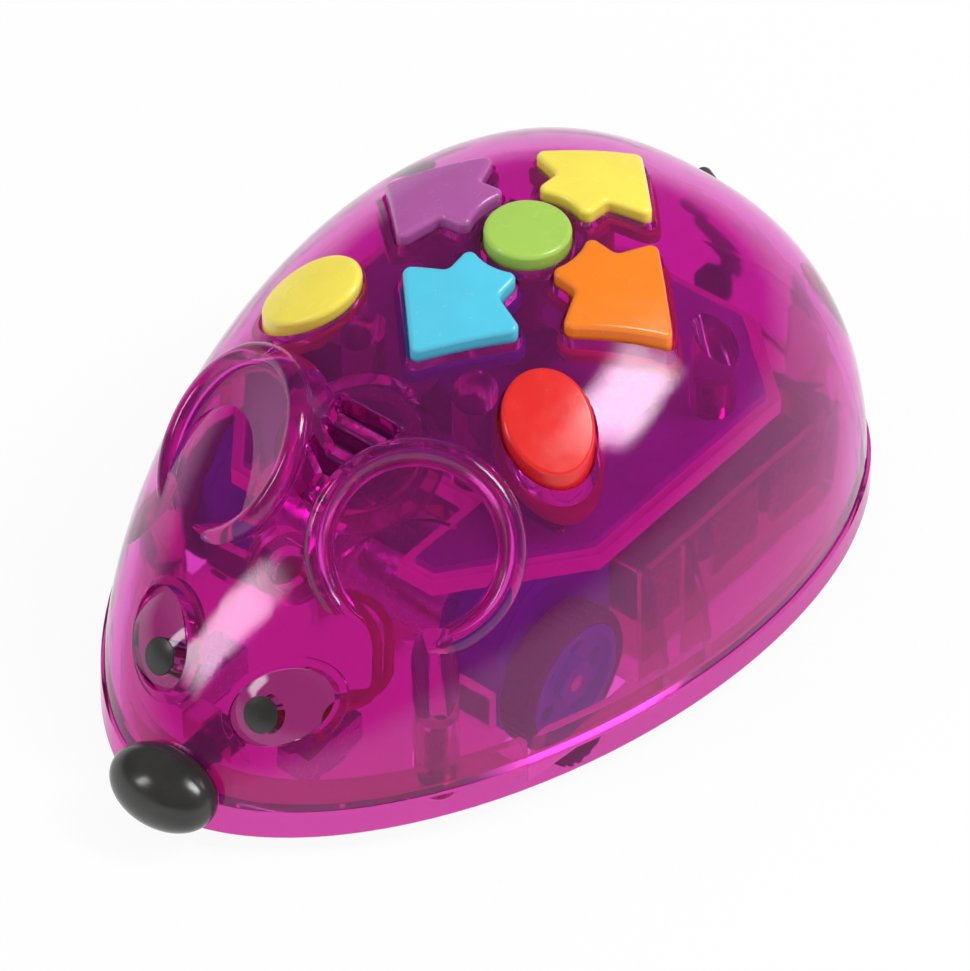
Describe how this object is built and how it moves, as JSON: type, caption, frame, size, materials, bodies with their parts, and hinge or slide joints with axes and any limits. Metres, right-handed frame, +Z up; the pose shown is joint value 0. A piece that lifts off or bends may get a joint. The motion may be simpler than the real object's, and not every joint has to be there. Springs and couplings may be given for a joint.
{
  "type": "programmable toy robot mouse",
  "caption": "Palm-sized see-through toy robot mouse with arrow keys on its back, geared drive wheels, a speaker grille, round ears, dark nose and a short tail.",
  "frame": {"origin": "on the floor under the middle of the overall length and width", "axes": "+Z up from the floor, +Y towards the tail along the length, the nose faces -Y, +X is the mouse's left"},
  "size_m": [0.07, 0.109, 0.0429],
  "materials": {
    "clear_magenta": "see-through tinted, polished",
    "steel": "plain bright",
    "white_plastic": "satin",
    "black_gloss": "polished",
    "dark_rubber": "matt",
    "board_pale": "pale solder mask",
    "paper_black": "matt paper",
    "lamp_clear": "clear",
    "red_wire": "insulation",
    "cell_jacket": "plain jacket",
    "lens_clear": "clear, polished",
    "gearbox_blue": "satin",
    "brass": "machined",
    "button_green": "smooth",
    "button_blue": "smooth",
    "button_yellow": "smooth",
    "button_orange": "smooth",
    "button_purple": "smooth",
    "button_red": "smooth"
  },
  "bodies": {
    "body": {"upper_shell": "clear_magenta", "base_tray": "clear_magenta", "battery_door": "clear_magenta", "battery_door_screw": "steel", "case_screws": "steel", "board_screws": "steel", "rear_skid": "white_plastic", "nose": "black_gloss", "tail": "dark_rubber", "pcb_tray": "clear_magenta", "main_board": "board_pale", "controller_chip": "black_gloss", "tact_switches": "black_gloss", "speaker_basket": "steel", "speaker_cone": "paper_black", "head_led": "lamp_clear", "led_leads": "red_wire", "battery_front": "cell_jacket", "battery_middle": "cell_jacket", "battery_rear": "cell_jacket", "battery_contacts": "steel", "power_switch_body": "steel", "speed_switch_body": "steel", "gear_pins": "steel", "eye_lens_left": "lens_clear", "eye_lens_right": "lens_clear", "pupil_left": "black_gloss", "pupil_right": "black_gloss", "gearbox_case_left": "gearbox_blue", "gearbox_case_right": "gearbox_blue", "gearbox_cover_left": "gearbox_blue", "gearbox_cover_right": "gearbox_blue", "motor_left": "steel", "motor_right": "steel"},
    "go_key": {"go_button": "button_green"},
    "forward_key": {"forward_button": "button_blue"},
    "back_key": {"back_button": "button_yellow"},
    "left_key": {"left_button": "button_orange"},
    "right_key": {"right_button": "button_purple"},
    "action_key": {"action_button": "button_red"},
    "clear_key": {"clear_button": "button_yellow"},
    "power_slider": {"power_switch_knob": "black_gloss"},
    "speed_slider": {"speed_switch_knob": "black_gloss"},
    "wheel_left": {"wheel_hub_left": "gearbox_blue", "tyre_left": "dark_rubber", "wheel_axle_left": "steel", "wheel_gear_left": "white_plastic"},
    "compound_left": {"compound_gear_left": "white_plastic"},
    "rotor_left": {"motor_pinion_left": "brass", "motor_shaft_left": "steel"},
    "wheel_right": {"wheel_hub_right": "gearbox_blue", "tyre_right": "dark_rubber", "wheel_axle_right": "steel", "wheel_gear_right": "white_plastic"},
    "compound_right": {"compound_gear_right": "white_plastic"},
    "rotor_right": {"motor_pinion_right": "brass", "motor_shaft_right": "steel"}
  },
  "joints": [
    {"name": "go_press", "type": "slide", "parent": "body", "child": "go_key", "axis": [0, 0, -1], "range_m": [0, 0.0012], "stiffness_N_per_m": 800},
    {"name": "forward_press", "type": "slide", "parent": "body", "child": "forward_key", "axis": [0, 0, -1], "range_m": [0, 0.0012], "stiffness_N_per_m": 800},
    {"name": "back_press", "type": "slide", "parent": "body", "child": "back_key", "axis": [0, 0, -1], "range_m": [0, 0.0012], "stiffness_N_per_m": 800},
    {"name": "left_press", "type": "slide", "parent": "body", "child": "left_key", "axis": [0, 0, -1], "range_m": [0, 0.0012], "stiffness_N_per_m": 800},
    {"name": "right_press", "type": "slide", "parent": "body", "child": "right_key", "axis": [0, 0, -1], "range_m": [0, 0.0012], "stiffness_N_per_m": 800},
    {"name": "action_press", "type": "slide", "parent": "body", "child": "action_key", "axis": [0, 0, -1], "range_m": [0, 0.0012], "stiffness_N_per_m": 800},
    {"name": "clear_press", "type": "slide", "parent": "body", "child": "clear_key", "axis": [0, 0, -1], "range_m": [0, 0.0012], "stiffness_N_per_m": 800},
    {"name": "power_slide", "type": "slide", "parent": "body", "child": "power_slider", "axis": [0, -1, 0], "range_m": [0, 0.003]},
    {"name": "speed_slide", "type": "slide", "parent": "body", "child": "speed_slider", "axis": [0, -1, 0], "range_m": [0, 0.003]},
    {"name": "wheel_spin_left", "type": "hinge", "parent": "body", "child": "wheel_left", "pos_m": [0, -0.012, 0.0085], "axis": [1, 0, 0], "continuous": true},
    {"name": "compound_spin_left", "type": "hinge", "parent": "body", "child": "compound_left", "pos_m": [0, -0.00747, 0.01303], "axis": [1, 0, 0], "continuous": true},
    {"name": "motor_spin_left", "type": "hinge", "parent": "body", "child": "rotor_left", "pos_m": [0, -0.01404, 0.01478], "axis": [1, 0, 0], "continuous": true},
    {"name": "wheel_spin_right", "type": "hinge", "parent": "body", "child": "wheel_right", "pos_m": [0, -0.012, 0.0085], "axis": [1, 0, 0], "continuous": true},
    {"name": "compound_spin_right", "type": "hinge", "parent": "body", "child": "compound_right", "pos_m": [0, -0.00747, 0.01303], "axis": [1, 0, 0], "continuous": true},
    {"name": "motor_spin_right", "type": "hinge", "parent": "body", "child": "rotor_right", "pos_m": [0, -0.01404, 0.01478], "axis": [1, 0, 0], "continuous": true}
  ],
  "couplings": [
    {"joint": "compound_spin_left", "follows": "wheel_spin_left", "ratio": -2.2},
    {"joint": "motor_spin_left", "follows": "wheel_spin_left", "ratio": 5.28},
    {"joint": "compound_spin_right", "follows": "wheel_spin_right", "ratio": -2.2},
    {"joint": "motor_spin_right", "follows": "wheel_spin_right", "ratio": 5.28}
  ]
}
